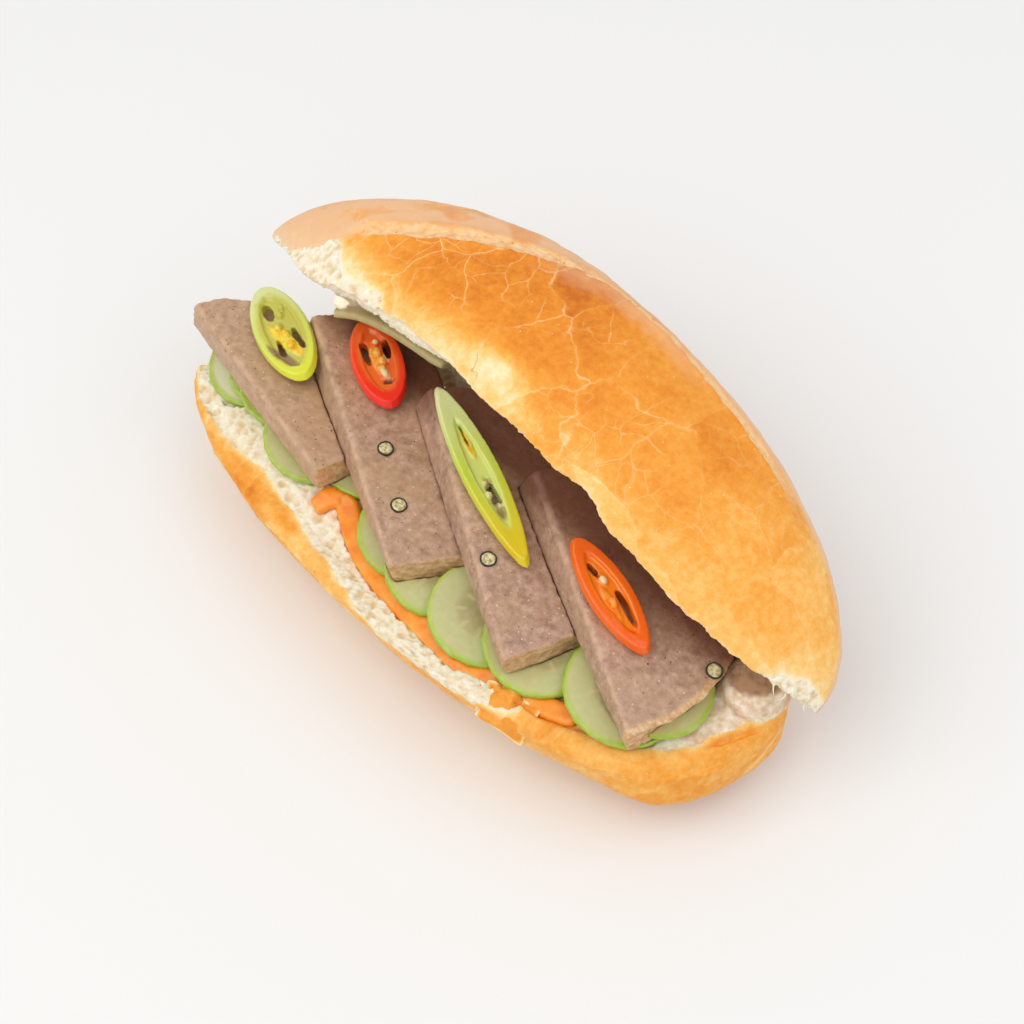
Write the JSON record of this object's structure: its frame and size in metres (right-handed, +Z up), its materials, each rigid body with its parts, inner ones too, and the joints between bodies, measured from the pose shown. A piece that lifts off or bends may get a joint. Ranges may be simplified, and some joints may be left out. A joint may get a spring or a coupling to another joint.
{
  "type": "banh mi sandwich",
  "caption": "Banh mi: a short crusty loaf cut along one side and opened, filled with slabs of pork roll, cucumber slices, a carrot ribbon and sliced chilli.",
  "frame": {"origin": "on the surface that the sandwich rests on, in the flat underside of the loaf, near the middle of its length", "axes": "+X along the loaf towards its uncut end, +Y towards the hinge of crust at the back, -Y out of the open mouth, +Z up"},
  "size_m": [0.2444, 0.1266, 0.1015],
  "materials": {
    "bread": "baked golden crust, satin and crackled; open cream-white crumb where cut",
    "pork_roll": "moist, fine-grained grey-mauve cooked meat with dark specks and pits",
    "chilli_green": "glossy wet lime-green pepper",
    "chilli_red": "glossy wet red pepper",
    "chilli_yellow": "glossy wet yellow-green pepper",
    "chilli_orange": "glossy wet orange pepper",
    "cucumber": "wet, translucent pale green flesh with a green skin",
    "carrot": "wet, smooth orange carrot"
  },
  "bodies": {
    "root": {"bread": "bread", "pork_slab_1": "pork_roll", "pork_slab_2": "pork_roll", "pork_slab_3": "pork_roll", "pork_slab_4": "pork_roll", "chilli_green_ring": "chilli_green", "chilli_red_ring": "chilli_red", "chilli_yellow_long": "chilli_yellow", "chilli_orange_long": "chilli_orange", "cucumber_slice_1": "cucumber", "cucumber_slice_2": "cucumber", "cucumber_slice_3": "cucumber", "cucumber_slice_4": "cucumber", "cucumber_slice_5": "cucumber", "cucumber_slice_6": "cucumber", "cucumber_slice_7": "cucumber", "cucumber_slice_8": "cucumber", "cucumber_slice_9": "cucumber", "cucumber_slice_10": "cucumber", "cucumber_slice_11": "cucumber", "carrot_ribbon_1": "carrot", "carrot_ribbon_2": "carrot", "cucumber_long": "cucumber"}
  },
  "joints": []
}
